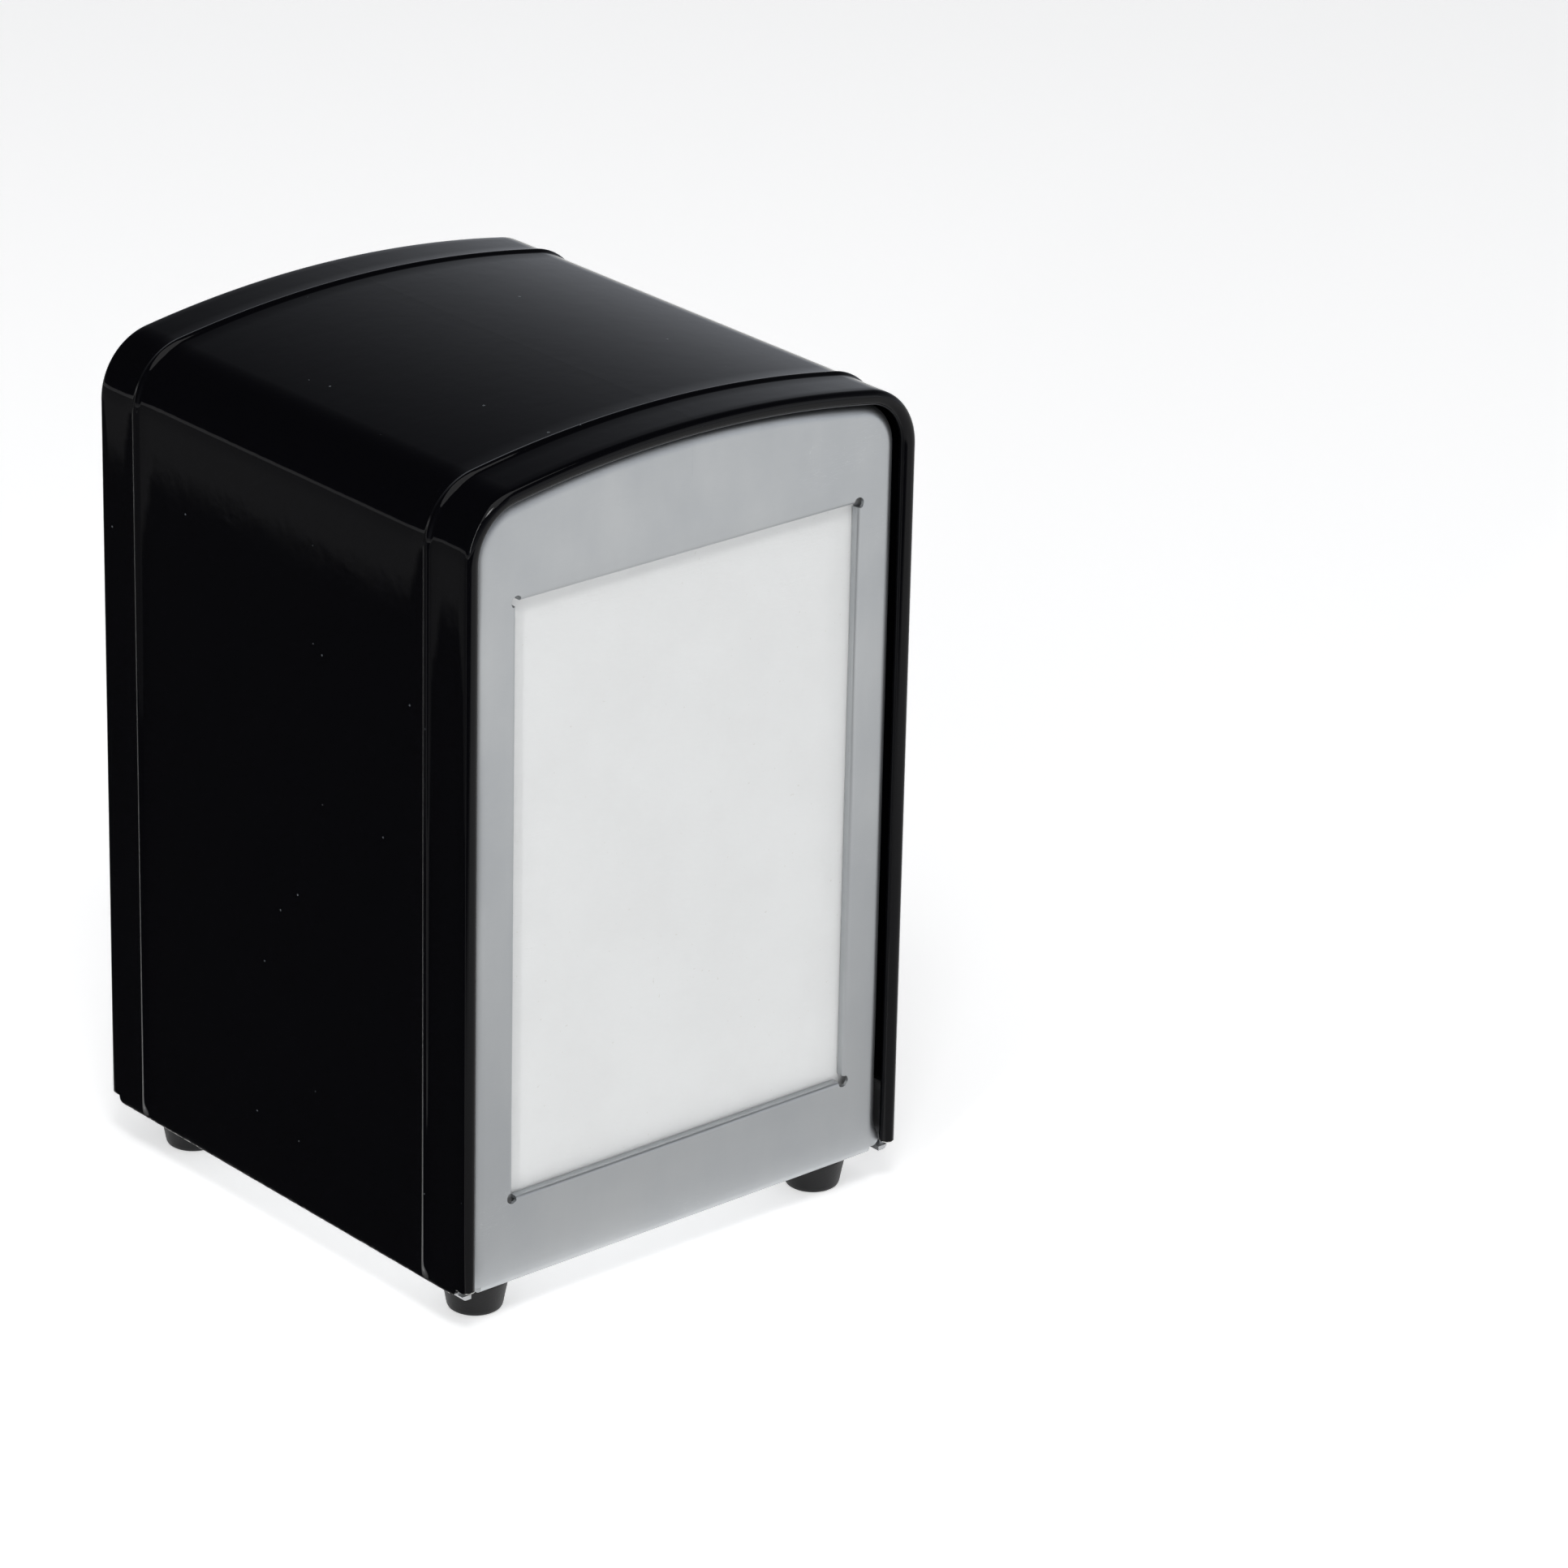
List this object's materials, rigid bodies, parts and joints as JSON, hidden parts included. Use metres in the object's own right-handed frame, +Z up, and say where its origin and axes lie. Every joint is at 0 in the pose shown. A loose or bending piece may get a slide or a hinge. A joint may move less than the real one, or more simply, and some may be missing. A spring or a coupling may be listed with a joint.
{
  "type": "tabletop napkin dispenser",
  "caption": "Two-sided tabletop napkin dispenser: wrapped steel cabinet, windowed swing-down faces, sprung pusher plates and rubber feet.",
  "frame": {"origin": "middle of the footprint, on the surface under the feet", "axes": "+Z up, -Y towards the front face, +X to the right seen from the front"},
  "size_m": [0.096, 0.1, 0.1525],
  "materials": {
    "black_enamel": "gloss",
    "satin_steel": "satin",
    "zinc_steel": "satin",
    "spring_steel": "semi-bright",
    "pusher_steel": "satin",
    "rivet_steel": "bright",
    "foot_rubber": "matte",
    "napkin_paper": "matte"
  },
  "bodies": {
    "cabinet": {"housing_shell": "black_enamel", "base_plate": "zinc_steel", "floor_channel": "zinc_steel", "centre_divider": "zinc_steel", "divider_rivets": "rivet_steel", "foot_front_left": "foot_rubber", "foot_front_right": "foot_rubber", "foot_rear_left": "foot_rubber", "foot_rear_right": "foot_rubber", "foot_washers": "rivet_steel", "foot_rivets": "rivet_steel", "front_hinge_wire": "spring_steel", "front_pusher_spring": "spring_steel", "front_spring_clips": "spring_steel", "front_napkin_stack": "napkin_paper", "rear_hinge_wire": "spring_steel", "rear_pusher_spring": "spring_steel", "rear_spring_clips": "spring_steel", "rear_napkin_stack": "napkin_paper"},
    "front_face": {"front_faceplate": "satin_steel"},
    "front_latch": {"front_latch_clip": "spring_steel"},
    "front_pusher": {"front_pusher_plate": "pusher_steel", "front_spring_seat": "zinc_steel"},
    "rear_face": {"rear_faceplate": "satin_steel"},
    "rear_latch": {"rear_latch_clip": "spring_steel"},
    "rear_pusher": {"rear_pusher_plate": "pusher_steel", "rear_spring_seat": "zinc_steel"}
  },
  "joints": [
    {"name": "front_face_hinge", "type": "hinge", "parent": "cabinet", "child": "front_face", "pos_m": [0, -0.046, 0.00843], "axis": [1, 0, 0], "range_deg": [0, 90]},
    {"name": "front_latch_flex", "type": "hinge", "parent": "cabinet", "child": "front_latch", "pos_m": [0, -0.024, 0.1504], "axis": [-1, 0, 0], "range_deg": [0, 2], "stiffness_Nm_per_rad": 0.8},
    {"name": "front_pusher_slide", "type": "slide", "parent": "cabinet", "child": "front_pusher", "axis": [0, -1, 0], "range_m": [-0.003, 0.028], "deforming": ["front_pusher_spring", "front_napkin_stack"]},
    {"name": "rear_face_hinge", "type": "hinge", "parent": "cabinet", "child": "rear_face", "pos_m": [0, 0.046, 0.00843], "axis": [-1, 0, 0], "range_deg": [0, 90]},
    {"name": "rear_latch_flex", "type": "hinge", "parent": "cabinet", "child": "rear_latch", "pos_m": [0, 0.024, 0.1504], "axis": [1, 0, 0], "range_deg": [0, 2], "stiffness_Nm_per_rad": 0.8},
    {"name": "rear_pusher_slide", "type": "slide", "parent": "cabinet", "child": "rear_pusher", "axis": [0, 1, 0], "range_m": [-0.003, 0.028], "deforming": ["rear_pusher_spring", "rear_napkin_stack"]}
  ]
}
